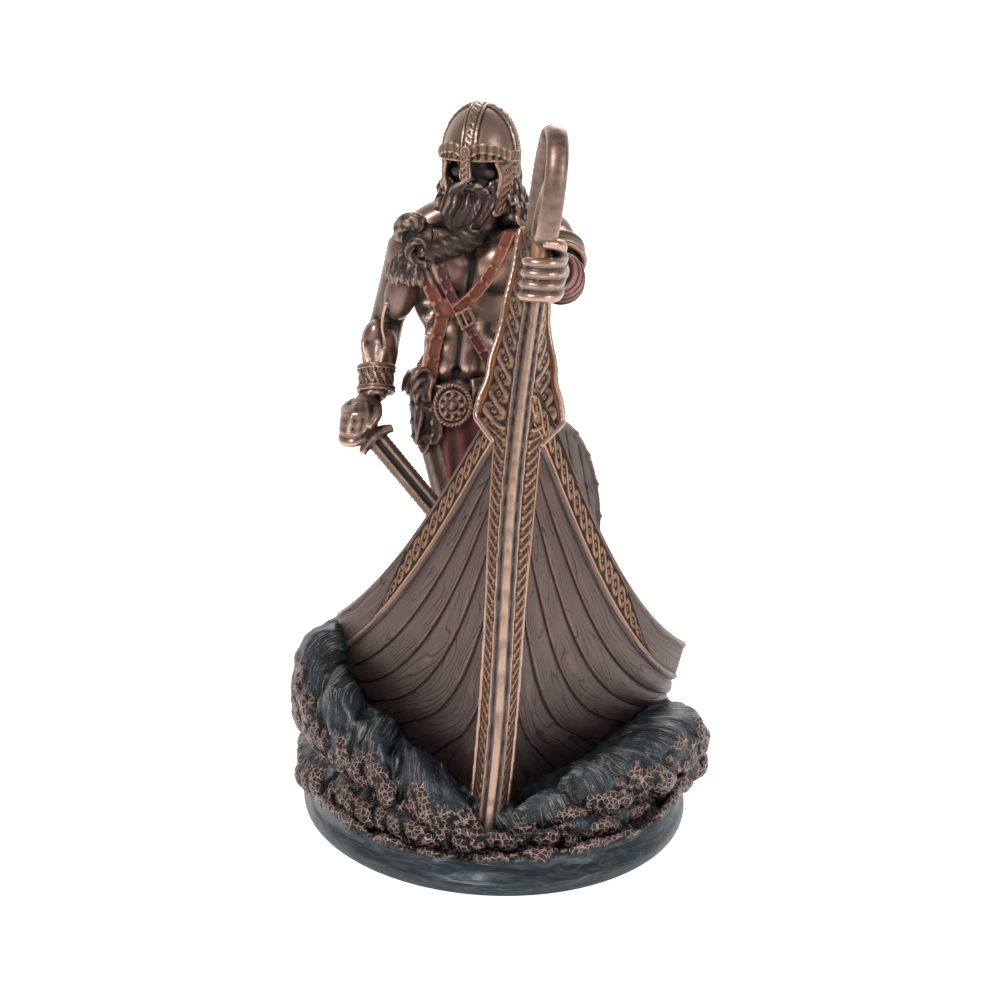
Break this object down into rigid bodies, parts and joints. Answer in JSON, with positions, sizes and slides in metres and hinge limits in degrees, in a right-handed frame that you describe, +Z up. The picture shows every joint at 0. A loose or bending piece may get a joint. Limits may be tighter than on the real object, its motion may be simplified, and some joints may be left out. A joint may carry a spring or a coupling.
{
  "type": "figurine",
  "caption": "Cold-cast figurine of a helmeted warrior in the bow of a longship, sword in one hand and the curled stem in the other, on an oval storm sea.",
  "frame": {"origin": "centre of the bounding box at the sea's underside", "axes": "+Z up, -Y the way the bow points, +X the warrior's left"},
  "size_m": [0.1452, 0.1686, 0.2449],
  "materials": {
    "bronze": "cold-cast bronze resin, satin, dark in the recesses"
  },
  "bodies": {
    "root": {"viking_statue": "bronze"}
  },
  "joints": []
}
